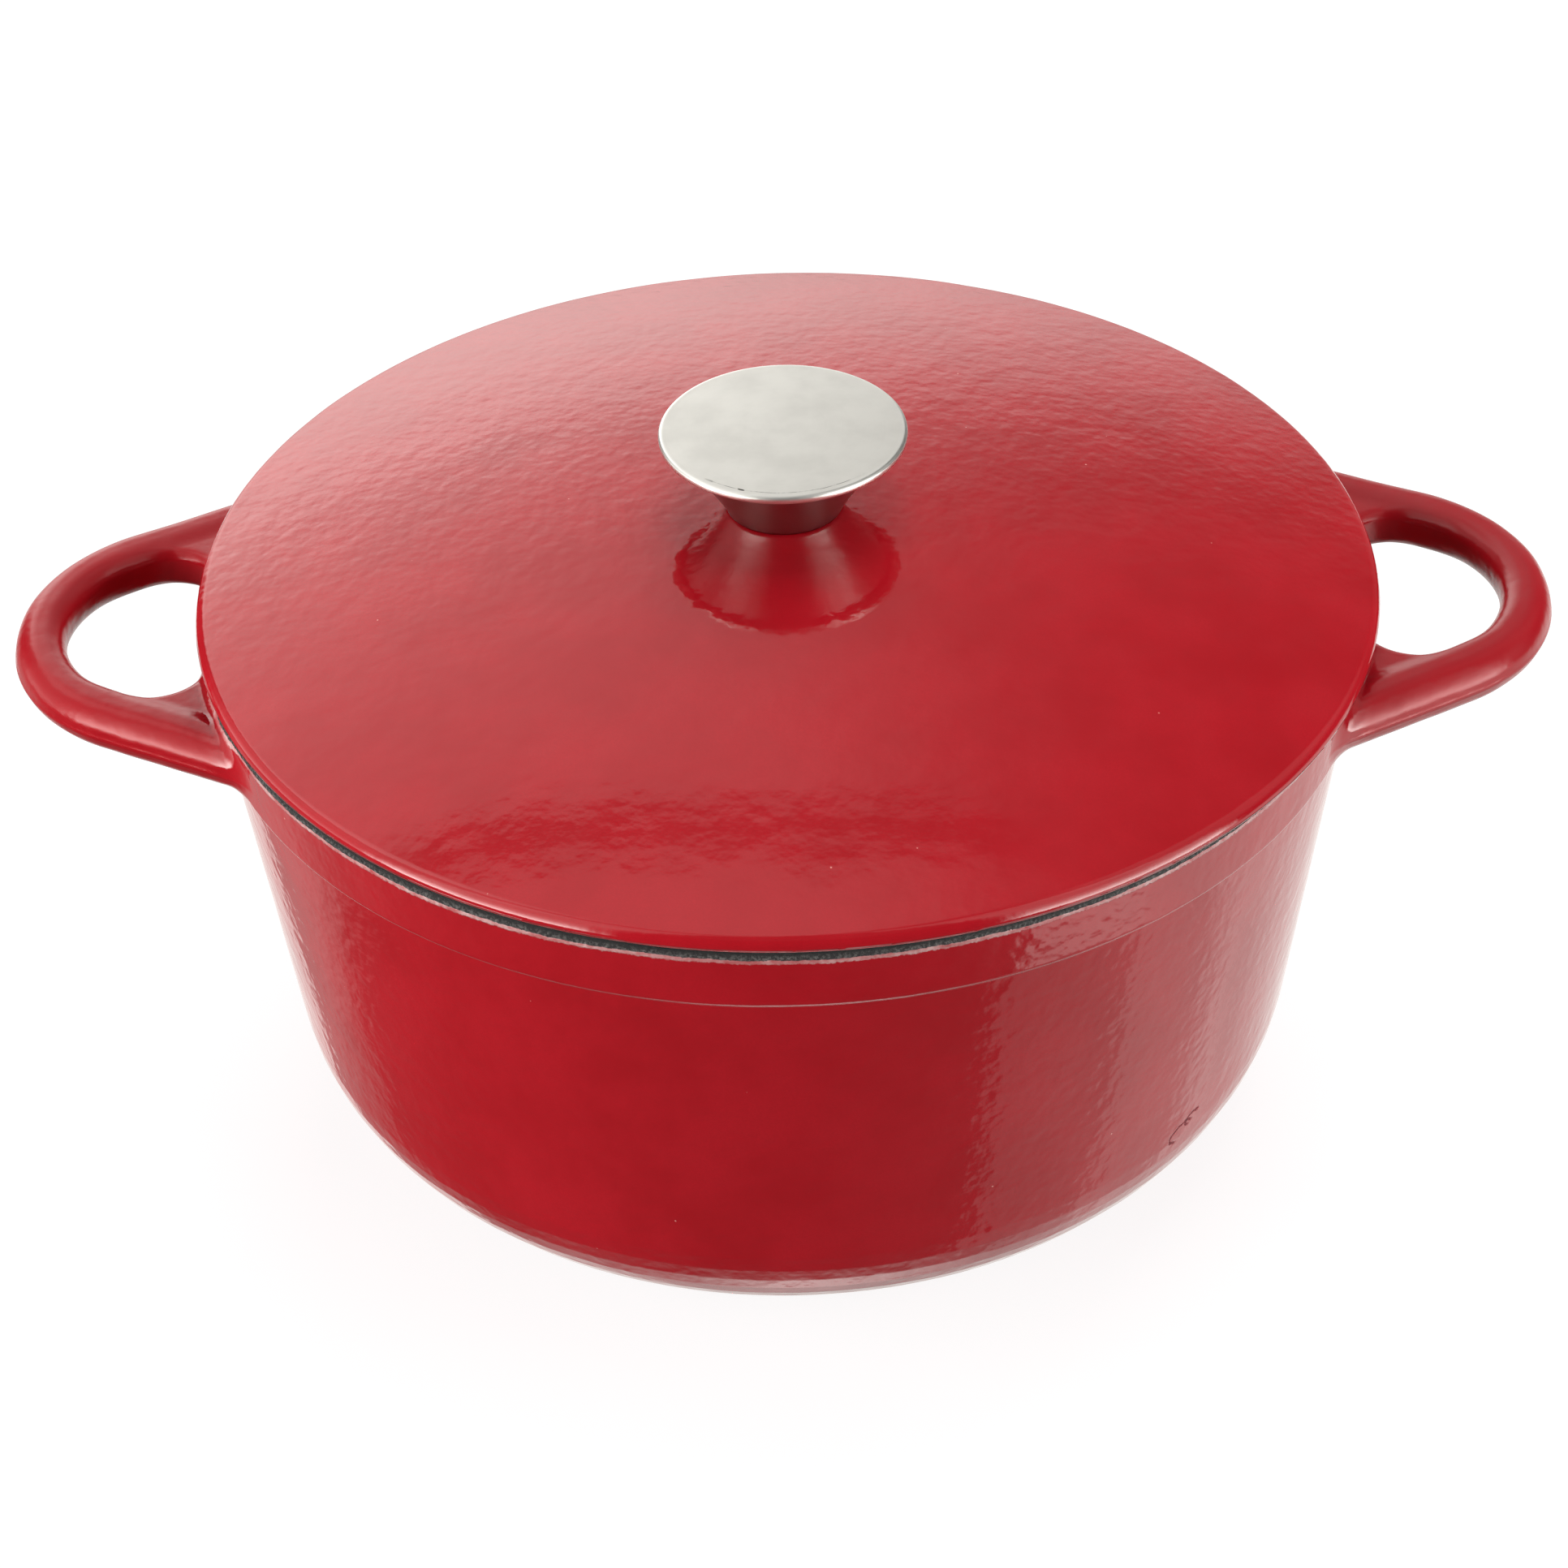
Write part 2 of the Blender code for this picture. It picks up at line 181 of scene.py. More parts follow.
def lathe(name, profile, segments, materials, axis_x=0.0, closed=False, shape=None, second=None):
    """Turns a profile that runs counterclockwise, seen with the axis at the left. Where it isn't closed, it
    starts and ends on the axis. shape(points, normals) moves the points, and second(profile) picks the runs
    that take the second material."""
    if closed:
        tangent = np.roll(profile, -1, axis=0) - np.roll(profile, 1, axis=0)
    else:
        tangent = np.gradient(profile, axis=0)
        tangent[[0, -1], 1] = 0
    tangent /= np.linalg.norm(tangent, axis=1)[:, None]
    angles = np.arange(segments) * 2 * math.pi / segments
    out = np.stack((np.cos(angles), np.sin(angles)), 1)
    n = len(profile)
    points = np.zeros((n, segments, 3))
    normals = np.zeros((n, segments, 3))
    points[:, :, :2] = profile[:, 0, None, None] * out[None]
    points[:, :, 2] = profile[:, 1, None]
    normals[:, :, :2] = tangent[:, 1, None, None] * out[None]
    normals[:, :, 2] = -tangent[:, 0, None]
    points, normals = points.reshape(-1, 3), normals.reshape(-1, 3)
    if shape:
        points = shape(points, normals)
    j = np.arange(segments)
    following = (j + 1) % segments
    faces, indices = [], []
    chosen = second(profile) if second else np.zeros(n, dtype=int)
    for i in range(n if closed else n - 1):
        a, b = i * segments, (i + 1) % n * segments
        if not closed and i == 0:
            faces += np.stack((j * 0, b + following, b + j), 1).tolist()
        elif not closed and i == n - 2:
            faces += np.stack((a + j, a + following, j * 0 + b), 1).tolist()
        else:
            faces += np.stack((a + j, a + following, b + following, b + j), 1).tolist()
        indices += [int(chosen[i])] * segments
    if not closed:
        keep = np.r_[0, segments:(n - 1) * segments + 1]
        place = np.zeros(n * segments, dtype=int)
        place[keep] = np.arange(len(keep))
        points = points[keep]
        faces = [[int(place[v]) for v in face] for face in faces]
    points = points + np.array((axis_x, 0.0, 0.0))
    return make_mesh(name, points, faces, materials, indices)


def dome_height(radius, inset=0.0):
    return LID_TOP - DOME + math.sqrt((DOME - inset) ** 2 - radius ** 2)


# ---------------------------------------------------------------- pot and handles

def pot_corners():
    outside = [(0.0, 0.3, 0), (58.0, 0.3, 0), (76.0, 0.0, 0), (*BASE_CORNER, 36.5), (*WALL_TOP, 1.0)]
    rim = [(*BAND_EDGE, 1.9), (*RIM_CORNER, 2.8), (MOUTH, RIM_TOP, 0.8), (MOUTH, 119.0, 3.0)]
    return outside + rim + [(*INNER_BASE_CORNER, 32.1), (0.0, 4.4, 0)]


def pot_shape(points, normals):
    """Waviness, faded out at the rim seat and the base so that they stay flat."""
    height = points[:, 2]
    fade = np.clip((RIM_TOP - height) / 4.0, 0, 1) * np.clip(height / 6.0, 0, 1)
    return points + normals * (casting_waviness(points) * fade)[:, None]


def pot_inside(profile):
    """Runs on the inner side of the seat's middle."""
    over = np.argmax((profile[:, 1] > RIM_TOP - 0.01) & (profile[:, 0] < 131.0))
    return (np.arange(len(profile)) >= over).astype(int)


def wall_profile():
    """Outer radius of the pot by height, for the handles to grow out of."""
    profile = graded(rounded(pot_corners()), 0.4, 2.0)
    top = int(np.argmax(profile[:, 1]))
    return profile[:top + 1]


WALL = wall_profile()


def length(*parts):
    return np.sqrt(sum(np.maximum(p, 0) ** 2 for p in parts))


def round_join(a, b, radius):
    """Union of two solids with a concave fillet."""
    return np.maximum(radius, np.minimum(a, b)) - length(radius - a, radius - b)


def soft_join(a, b, width):
    """Union of two solids with a short blend."""
    h = np.clip(0.5 + 0.5 * (b - a) / width, 0, 1)
    return b + (a - b) * h - width * h * (1 - h)


def web_centre():
    """Centre in plan of the fillet between an arm's inner side and the wall."""
    inward = -np.array((math.cos(BEND_ANGLE), math.sin(BEND_ANGLE)))
    along = np.array((-math.sin(BEND_ANGLE), math.cos(BEND_ANGLE)))
    start = np.array((BEND_CENTRE, 0.0)) - inward * (BEND - BAR_HALF_WIDTH - WEB_FILLET)
    reach = BAND_RADIUS + WEB_FILLET
    b = start @ along
    return start + along * (-b - math.sqrt(b * b - start @ start + reach * reach))


WEB_CENTRE = web_centre()


def handle_plan(x, y):
    """Signed distance in plan from the bar's centre line, and to the web that joins bar and pot."""
    qx = x - BEND_CENTRE
    across = np.array((math.cos(BEND_ANGLE), math.sin(BEND_ANGLE)))
    turned = np.arctan2(y, qx) - BEND_ANGLE
    on_bend = turned < 0
    offset = np.where(on_bend, np.hypot(qx, y), qx * across[0] + y * across[1]) - BEND
    along = np.where(on_bend, turned * BEND, y * across[0] - qx * across[1])
    touch = WEB_CENTRE[1] * across[0] - (WEB_CENTRE[0] - BEND_CENTRE) * across[1]
    share = np.clip(1 + (along - touch) / WEB_RUN, 0, 1)
    sunk = WEB_BLEND * (1 - share * share * (3 - 2 * share))
    plan = np.minimum(sunk - BAR_HALF_WIDTH - offset, np.hypot(x, y) - BAND_RADIUS)
    dx, dy = x - WEB_CENTRE[0], y - WEB_CENTRE[1]
    to_pot = -WEB_CENTRE / np.linalg.norm(WEB_CENTRE)
    past_arm = across[0] * dy - across[1] * dx > 0
    past_pot = to_pot[0] * dy - to_pot[1] * dx < 0
    web = np.where(past_arm & past_pot, WEB_FILLET - np.hypot(dx, dy), plan)
    return offset, np.maximum(np.minimum(plan, web), offset - WEB_EDGE)


def handle_field(points):
    """Signed distance to the right-hand loop, its webs and a sunken patch of the wall behind it."""
    x, y, z = points.T
    radius = np.hypot(x, y)
    offset, plan = handle_plan(x, np.abs(y))
    up = z - BAR_MIDDLE
    # Roundings of the bar's upper outer, upper inner, lower outer and lower inner edges
    edge = np.where(up > 0, np.where(offset > 0, 5.7, 4.7), np.where(offset > 0, 5.0, 5.7))
    qx, qz = np.abs(offset) - BAR_HALF_WIDTH + edge, np.abs(up) - BAR_HALF_HEIGHT + edge
    bar = np.minimum(np.maximum(qx, qz), 0) + length(qx, qz) - edge
    # Faint parting line of the mould, along the outer side
    bar -= 0.24 * np.exp(-((up + 0.9) / 0.8) ** 2) * np.clip(offset / 4 - 0.5, 0, 1)
    wx = plan + WEB_EDGE_ROUNDING
    wz = np.abs(up + 0.2) - WEB_HALF_HEIGHT + WEB_EDGE_ROUNDING
    web = np.minimum(np.maximum(wx, wz), 0) + length(wx, wz) - WEB_EDGE_ROUNDING
    loop = soft_join(bar, web, WEB_BLEND)
    loop -= 0.05 * waves(points, 17.0, 21)
    wall = radius - np.interp(z, WALL[:, 1], WALL[:, 0]) - casting_waviness(points)
    angle = np.abs(np.arctan2(y, x))
    # Outside the handle's root the skin sinks below the wall, so that the two surfaces don't lie together
    outskirts = np.maximum((angle - ROOT_SPREAD) / (ROOT_LIMIT - ROOT_SPREAD), z - 130.2)
    outskirts = np.clip(np.maximum(outskirts, (112.0 - z) / 2.5), 0, 1)
    joined = round_join(loop, wall, ROOT_FILLET) + 0.03 + 1.2 * outskirts ** 2
    sector = (angle - ROOT_LIMIT) * radius
    limit = np.maximum(sector, np.maximum(z - 131.0, 109.0 - z))
    return np.maximum(np.maximum(joined, 129.4 - radius), limit)


def gradient(field, points, h=0.02):
    parts = []
    for axis in range(3):
        step = np.zeros(3)
        step[axis] = h
        parts.append((field(points + step) - field(points - step)) / (2 * h))
    return np.stack(parts, 1)


def net_surface(field, low, high, cell):
    """Closed quad mesh of the field's zero surface, by surface nets."""
    axes = [np.arange(a, b + cell, cell) for a, b in zip(low, high)]
    grid = np.stack(np.meshgrid(*axes, indexing="ij"), -1)
    shape = grid.shape[:3]
    values = field(grid.reshape(-1, 3)).reshape(shape)
    offsets = [(i, j, k) for i in (0, 1) for j in (0, 1) for k in (0, 1)]
    nx, ny, nz = (s - 1 for s in shape)

    def corner(o):
        return values[o[0]:nx + o[0], o[1]:ny + o[1], o[2]:nz + o[2]]

    total = sum((corner(o) < 0).astype(int) for o in offsets)
    active = (total > 0) & (total < 8)
    cells = np.argwhere(active)
    number = -np.ones(active.shape, dtype=int)
    number[active] = np.arange(len(cells))
    sums, counts = np.zeros((len(cells), 3)), np.zeros(len(cells))
    for a in offsets:
        for axis in range(3):
            if a[axis]:
                continue
            b = tuple(1 if k == axis else v for k, v in enumerate(a))
            va, vb = corner(a)[active], corner(b)[active]
            crossing = (va < 0) != (vb < 0)
            share = np.where(crossing, va / np.where(crossing, va - vb, 1), 0)
            place = np.tile(np.array(a, float), (len(cells), 1))
            place[:, axis] += share
            sums += place * crossing[:, None]
            counts += crossing
    points = (cells + sums / counts[:, None]) * cell + np.array([a[0] for a in axes])
    faces = []
    for axis in range(3):
        u, v = (axis + 1) % 3, (axis + 2) % 3
        low_side = [slice(1, nx), slice(1, ny), slice(1, nz)]
        low_side[axis] = slice(0, shape[axis] - 1)
        high_side = list(low_side)
        high_side[axis] = slice(1, shape[axis])
        here, there = values[tuple(low_side)] < 0, values[tuple(high_side)] < 0
        for inward, flip in ((here & ~there, False), (~here & there, True)):
            index = np.argwhere(inward) + np.array([s.start for s in low_side])
            ring = []
            for du, dv in ((1, 1), (0, 1), (0, 0), (1, 0)):
                around = index.copy()
                around[:, u] -= du
                around[:, v] -= dv
                ring.append(number[tuple(around.T)])
            quads = np.stack(ring[::-1] if flip else ring, 1)
            faces += quads.tolist()
    return points, faces


def relax(points, faces, field, rounds):
    """Evens the mesh out and puts it back on the surface."""
    quads = np.array(faces)
    for _ in range(rounds):
        total, count = np.zeros_like(points), np.zeros(len(points))
        for a in range(4):
            for b in ((a + 1) % 4, (a - 1) % 4):
                np.add.at(total, quads[:, a], points[quads[:, b]])
                np.add.at(count, quads[:, a], 1)
        points = points * 0.5 + total / count[:, None] * 0.5
        for _ in range(2):
            slope = gradient(field, points)
            points = points - slope * (field(points) / (slope ** 2).sum(1))[:, None]
    return points


def make_handles(materials):
    points, faces = net_surface(handle_field, NET_LOW, NET_HIGH, NET_CELL)
    points = relax(points, faces, handle_field, 3)
    normals = gradient(handle_field, points)
    normals /= np.linalg.norm(normals, axis=1)[:, None]
    right = make_mesh("handle_right_casting", points, faces, materials, normals=normals)
    mirror = np.array((-1.0, 1.0, 1.0))
    flipped = [face[::-1] for face in faces]
    left = make_mesh("handle_left_casting", points * mirror, flipped, materials, normals=normals * mirror)
    return right, left


# ---------------------------------------------------------------- lid and knob

def lid_corners():
    under = [(SCREW_HOLE, 147.6, 0.3), (12.0, 147.6, 1.0), (15.0, dome_height(15.0, LID_THICKNESS), 2.5)]
    under += [(r, dome_height(r, LID_THICKNESS), 0) for r in np.arange(18.0, 117.0, 1.5)]
    lip = [(120.3, dome_height(120.3, LID_THICKNESS) - 0.3, 1.6), (121.0, 126.6, 0.8), (125.0, 126.6, 0.8)]
    edge = [(125.7, SEAT, 0.5), (LID_RADIUS, SEAT, 1.1), (LID_RADIUS, dome_height(LID_RADIUS), 3.0)]
    top = [(r, dome_height(r), 0) for r in np.arange(132.4, 14.0, -1.5)]
    knob_seat = [(12.8, dome_height(12.8), 0.2), (12.4, LID_TOP, 0.2), (SCREW_HOLE, LID_TOP, 0.3)]
    return under + lip + edge + top + knob_seat


def lid_shape(points, normals):
    """Waviness on the dome, and drip bumps under it."""
    radius = np.hypot(points[:, 0], points[:, 1])
    fade = np.clip((radius - 16.0) / 10.0, 0, 1) * (points[:, 2] > SEAT + 1.0)
    points = points + normals * (casting_waviness(points + 300.0) * fade)[:, None]
    under = (normals[:, 2] < -0.5) & (radius > 20.0) & (radius < 118.0)
    for ring, count in BUMP_RINGS:
        for i in range(count):
            angle = 2 * math.pi * (i + 0.5) / count
            away = np.hypot(points[:, 0] - ring * math.cos(angle), points[:, 1] - ring * math.sin(angle))
            bump = np.clip(1 - (away / BUMP_RADIUS) ** 2, 0, 1) ** 1.4
            points[:, 2] -= BUMP_DEPTH * bump * under
    return points


def lid_outside(profile):
    """Runs from the middle of the edge's underside onwards, over the edge and the dome."""
    return (np.arange(len(profile)) >= np.argmax(profile[:, 0] > 133.0)).astype(int)


def cap_profile():
    crown = [(28.0 * f, CAP_TOP - CAP_CROWN * f * f, 0) for f in np.arange(0.95, 0.0, -0.05)]
    under = [(0.0, 173.6, 0), (26.1, 172.5, 0.2), (26.1, CAP_BOTTOM, 0.2)]
    edge = [(CAP_RADIUS, CAP_BOTTOM, 1.0), (CAP_RADIUS, CAP_EDGE_TOP, 0.8)]
    return graded(rounded(under + edge + crown + [(0.0, CAP_TOP, 0)]), 0.15, 1.2)


def stem_profile(steps=28):
    """A trumpet with a wall of 1.0 mm at its foot and 1.6 mm at its top."""
    share = np.linspace(0, 1, steps + 1)
    bottom = LID_TOP + 0.05
    height = bottom + (STEM_TOP - bottom) * share
    outer = STEM_FOOT + STEM_FLARE * share ** 1.18
    inner = outer - 1.0 - 0.6 * share
    return np.concatenate((np.stack((outer, height), 1), np.stack((inner, height), 1)[::-1]))


def screw_corners():
    head = [(0.0, 140.6, 0), (4.1, 140.6, 0.6), (5.5, 142.1, 0.6), (5.5, 144.0, 0.3)]
    return head + [(2.85, 144.0, 0), (2.85, 163.9, 0), (2.25, 164.5, 0), (0.0, 164.5, 0)]


def washer_profile(outer, bottom, top):
    corners = [(WASHER_HOLE, bottom, 0.12), (outer, bottom, 0.2), (outer, top, 0.2), (WASHER_HOLE, top, 0.12)]
    return graded(rounded(corners, closed=True), 0.1, 0.8, closed=True)


def cut_slot(screw):
    """Driver slot across the screw's head."""
    low, high = (-7.3, -SLOT_HALF_WIDTH, 139.0), (9.1, SLOT_HALF_WIDTH, 142.2)
    corners = [(x, y, z) for x in (low[0], high[0]) for y in (low[1], high[1]) for z in (low[2], high[2])]
    faces = [(0, 1, 3, 2), (4, 6, 7, 5), (0, 4, 5, 1), (2, 3, 7, 6), (0, 2, 6, 4), (1, 5, 7, 3)]
    cutter = make_mesh("slot_cutter", corners, faces, [])
    modifier = screw.modifiers.new("slot", "BOOLEAN")
    modifier.operation, modifier.solver, modifier.object = "DIFFERENCE", "EXACT", cutter
    graph = bpy.context.evaluated_depsgraph_get()
    mesh = bpy.data.meshes.new_from_object(screw.evaluated_get(graph))
    screw.modifiers.clear()
    screw.data = mesh
    mesh.set_sharp_from_angle(angle=math.radians(40))
    bpy.data.objects.remove(cutter)


# ---------------------------------------------------------------- materials

class Look:
    """A node material. Positions are the piece's own, in metres, so the look stays put as it moves."""

    def __init__(self, name):
        self.material = bpy.data.materials.new(name)
        self.material.use_nodes = True
        self.tree = self.material.node_tree
        self.shader = self.tree.nodes["Principled BSDF"]
        self.position = self.add("ShaderNodeTexCoord").outputs["Object"]
        self.x, self.y, self.z = self.add("ShaderNodeSeparateXYZ", Vector=self.position).outputs
        self.radius = self.distance(self.x, self.y)

    def add(self, kind, settings=None, **inputs):
        node = self.tree.nodes.new(kind)
        for name, value in (settings or {}).items():
            setattr(node, name, value)
        for name, value in inputs.items():
            self.feed(node.inputs[name.replace("_", " ")], value)
        return node

    def feed(self, socket, value):
        if isinstance(value, bpy.types.NodeSocket):
            self.tree.links.new(value, socket)
        else:
            socket.default_value = value

    def math(self, operation, a, b=0.0):
        node = self.add("ShaderNodeMath", {"operation": operation})
        self.feed(node.inputs[0], a)
        self.feed(node.inputs[1], b)
        return node.outputs[0]

    def inverse(self, share):
        return self.math("SUBTRACT", 1.0, share)

    def distance(self, a, b):
        return self.math("SQRT", self.math("ADD", self.math("MULTIPLY", a, a), self.math("MULTIPLY", b, b)))

    def shifted(self, shift):
        node = self.add("ShaderNodeVectorMath", {"operation": "ADD"})
        self.feed(node.inputs[0], self.position)
        self.feed(node.inputs[1], (shift, shift, shift))
        return node.outputs[0]

    def noise(self, size, detail=2.0, rough=0.5, shift=0.0):
        """Noise of that feature size in millimetres, centred on 0.5."""
        place = self.shifted(shift) if shift else self.position
        node = self.add("ShaderNodeTexNoise", Vector=place, Scale=1000.0 / size, Detail=detail, Roughness=rough)
        return node.outputs[0]

    def wander(self, spread, size, detail=2.0, rough=0.5):
        """Noise of that feature size in millimetres, centred on 0 and scaled to a spread in metres."""
        return self.math("MULTIPLY", self.math("SUBTRACT", self.noise(size, detail, rough), 0.5), spread)

    def ramp(self, value, low, high, start=0.0, end=1.0):
        """Smooth step from start to end as value goes from low to high."""
        node = self.add("ShaderNodeMapRange", {"interpolation_type": "SMOOTHSTEP"}, Value=value)
        for socket, number in zip(node.inputs[1:5], (low, high, start, end)):
            socket.default_value = number
        return node.outputs[0]

    def spots(self, size, radius, share, shift):
        """Small round spots: one in a share of the cells of that size, both in millimetres."""
        cells = self.add("ShaderNodeTexVoronoi", Vector=self.shifted(shift), Scale=1000.0 / size)
        pick = self.add("ShaderNodeSeparateColor", Color=cells.outputs["Color"])
        near = self.ramp(cells.outputs["Distance"], radius / size * 0.6, radius / size, 1.0, 0.0)
        return self.math("MULTIPLY", near, self.math("LESS_THAN", pick.outputs[0], share))

    def mix(self, share, a, b):
        node = self.add("ShaderNodeMix", {"data_type": "RGBA"})
        self.feed(node.inputs[0], share)
        self.feed(node.inputs[6], a)
        self.feed(node.inputs[7], b)
        return node.outputs[2]

    def blend(self, share, a, b):
        node = self.add("ShaderNodeMix")
        self.feed(node.inputs[0], share)
        self.feed(node.inputs[2], a)
        self.feed(node.inputs[3], b)
        return node.outputs[0]

    def bump(self, height, depth, normal=None):
        """Adds height, 0 to 1, as relief of that depth in millimetres."""
        node = self.add("ShaderNodeBump", Height=height, Strength=1.0, Distance=depth * MM)
        if normal is not None:
            self.feed(node.inputs["Normal"], normal)
        return node.outputs[0]

    def finish(self, colour, roughness, normal, metallic=0.0):
        self.feed(self.shader.inputs["Base Color"], colour)
        self.feed(self.shader.inputs["Roughness"], roughness)
        self.feed(self.shader.inputs["Normal"], normal)
        self.feed(self.shader.inputs["Metallic"], metallic)
        return self.material


RED = (0.435, 0.0075, 0.0150, 1.0)
RED_DEEP = (0.375, 0.0050, 0.0105, 1.0)
# Darker red for the loop handles: painted shade for the lesser light that falls on them
RED_HANDLE_PAINTED_SHADE = (0.31, 0.0042, 0.0088, 1.0)
RED_PALE = (0.78, 0.30, 0.26, 1.0)
PIT = (0.03, 0.004, 0.006, 1.0)
CREASE = (0.09, 0.006, 0.010, 1.0)
CREAM = (0.82, 0.76, 0.64, 1.0)
CREAM_DEEP = (0.76, 0.69, 0.56, 1.0)
IRON = (0.014, 0.013, 0.013, 1.0)
IRON_PALE = (0.125, 0.118, 0.112, 1.0)
# Near black: painted shadow of the gap under the lid's edge, laid on bare iron
IRON_PAINTED_SHADOW = (0.006, 0.006, 0.006, 1.0)
GROUND_COAT = (0.74, 0.58, 0.55, 1.0)
CAP_DARK_MARK = (0.09, 0.08, 0.07, 1.0)
CAP_STEEL = (0.81, 0.80, 0.765)
# Much darker than the cap's steel: painted shade, for the stem's place under the cap
STEM_STEEL_PAINTED_SHADE = (0.38, 0.37, 0.355)
PLATED_STEEL = (0.56, 0.56, 0.57)

# Where the materials change, in metres from the oven's axis or up from its base
HANDLE_START, HANDLE_BLENDED = 0.1366, 0.1400
# Above these heights bare iron turns near black, on the pot's seat and the lid's bare underside: painted shadow
# of the gap under the lid's edge
SEAT_PAINTED_SHADOW = (0.1294, 0.1305)
POT_BARE, POT_LINE = (0.12888, 0.12906), (0.1278, 0.1282)
LID_BARE, LID_LINE = (0.13245, 0.13262), (0.13275, 0.13310)
POT_INSIDE_BARE, POT_INSIDE_LINE = (0.13105, 0.13122), (0.13045, 0.1308)
LID_INSIDE_BARE, LID_INSIDE_LINE = (0.1249, 0.1252), (0.1245, 0.1249)
FIRING_MARKS = ((0.0875, 0.0327, 0.0030), (0.0900, 0.0352, 0.0018))    # x, z and radius of each curl


def darker(colour, share):
    return (*[c * share for c in colour[:3]], 1.0)


def crease(look, x, z, radius):
    """Curled crease left by firing, low at the front of the pot: part of an uneven ring."""
    across, up = look.math("SUBTRACT", look.x, x), look.math("SUBTRACT", look.z, z)
    off_ring = look.math("SUBTRACT", look.distance(across, up), radius)
    offset = look.math("ABSOLUTE", look.math("ADD", off_ring, look.wander(0.0022, 2.6)))
    ring = look.ramp(offset, 0.0002, 0.0006, 1.0, 0.0)
    upper = look.ramp(look.math("SUBTRACT", up, across), -0.0006, 0.0006)
    return look.math("MULTIPLY", look.math("MULTIPLY", ring, upper), look.ramp(look.y, -0.06, -0.05, 1.0, 0.0))


def enamel(name, colour, deep, bare, line, ripple=lambda look: 1.0, creases=()):
    """Glossy vitreous enamel. bare and line say, from a Look, where iron and the ground coat show, and
    ripple says how strong the coat's fine waves are."""
    look = Look(name)
    mottle = look.ramp(look.noise(28.0, 3.0, 0.6), 0.3, 0.72)
    base = look.mix(mottle, colour, deep)
    speckle = look.math("MULTIPLY", look.ramp(look.noise(0.5, 1.0), 0.35, 0.65), 0.3)
    base = look.mix(speckle, base, darker(colour, 0.8))
    # The loops' red is darkened: painted shade for the lesser light they get
    base = look.mix(look.ramp(look.radius, HANDLE_START, HANDLE_BLENDED, 0.0, 0.7), base, RED_HANDLE_PAINTED_SHADE)
    pale = look.spots(9.0, 0.28, 0.4, 0.31)
    base = look.mix(look.math("MULTIPLY", pale, 0.8), base, RED_PALE)
    pits = look.spots(19.0, 0.36, 0.035, 0.77)
    base = look.mix(pits, base, PIT)
    line_share, bare_share = line(look), bare(look)
    coat = look.mix(look.noise(1.4, 2.0, shift=0.5), GROUND_COAT, colour)
    base = look.mix(line_share, base, coat)
    grain = look.noise(0.7, 3.0, 0.7)
    iron = look.mix(look.ramp(grain, 0.42, 0.68), IRON, IRON_PALE)
    # Bare iron turns near black from the seat's outer edge upwards: painted shadow of the gap under the lid's
    # edge
    base = look.mix(bare_share, base, look.mix(look.ramp(look.z, *SEAT_PAINTED_SHADOW), iron, IRON_PAINTED_SHADOW))
    gloss = look.ramp(look.noise(9.0, 2.0, shift=0.2), 0.25, 0.75, 0.05, 0.085)
    gloss = look.math("ADD", gloss, look.ramp(look.radius, HANDLE_START, HANDLE_BLENDED, 0.0, 0.18))
    rough = look.blend(bare_share, look.blend(line_share, gloss, 0.16), 0.78)
    peel = look.bump(look.noise(9.0, 1.0), 0.10)
    peel = look.bump(look.math("MULTIPLY", look.noise(3.6, 1.5, 0.5, shift=0.4), ripple(look)), 0.105, peel)
    peel = look.bump(look.noise(1.5, 1.0, shift=0.9), 0.014, peel)
    for x, z, radius in creases:
        mark = crease(look, x, z, radius)
        base = look.mix(look.math("MULTIPLY", mark, 0.9), base, CREASE)
        peel = look.bump(look.inverse(mark), 0.04, peel)
        rough = look.blend(mark, rough, 0.7)
    dots = look.bump(look.math("SUBTRACT", pale, pits), 0.03, peel)
    cast = look.bump(look.math("MULTIPLY", grain, bare_share), 0.22, dots)
    edge = look.bump(line_share, 0.16, look.bump(look.inverse(bare_share), 0.25, cast))
    mirror = look.ramp(look.radius, HANDLE_START, HANDLE_BLENDED, 0.5, 0.34)
    look.feed(look.shader.inputs["Specular IOR Level"], mirror)
    return look.finish(base, rough, edge)


def frayed_height(look, size, spread):
    """Height in metres that drifts slowly, and frays in features of that size in millimetres."""
    drifting = look.math("ADD", look.z, look.wander(0.0016, 22.0))
    return look.math("ADD", drifting, look.wander(spread, size, 3.0, 0.65))


def from_lid_axis(look):
    return look.distance(look.math("SUBTRACT", look.x, LID_AXIS * MM), look.y)


def on_rim(look, share):
    """The same share on the pot's wall, and nothing on the handles."""
    return look.math("MULTIPLY", share, look.ramp(look.radius, 0.1347, 0.1353, 1.0, 0.0))


def pot_bare(look):
    return on_rim(look, look.ramp(frayed_height(look, 1.6, 0.0009), *POT_BARE))


def pot_line(look):
    presence = look.ramp(look.noise(9.0, 3.0, 0.6, shift=0.13), 0.32, 0.58, 0.35, 1.0)
    share = look.ramp(frayed_height(look, 1.1, 0.0012), *POT_LINE)
    return on_rim(look, look.math("MULTIPLY", share, presence))


def pot_ripple(look):
    """The same all over the pot."""
    return 1.5


def lid_bare(look):
    return look.ramp(frayed_height(look, 1.4, 0.0006), *LID_BARE, 1.0, 0.0)


def lid_line(look):
    presence = look.ramp(look.noise(8.0, 3.0, 0.6, shift=0.4), 0.48, 0.72, 0.0, 0.5)
    share = look.ramp(frayed_height(look, 1.2, 0.0008), *LID_LINE, 1.0, 0.0)
    return look.math("MULTIPLY", share, presence)


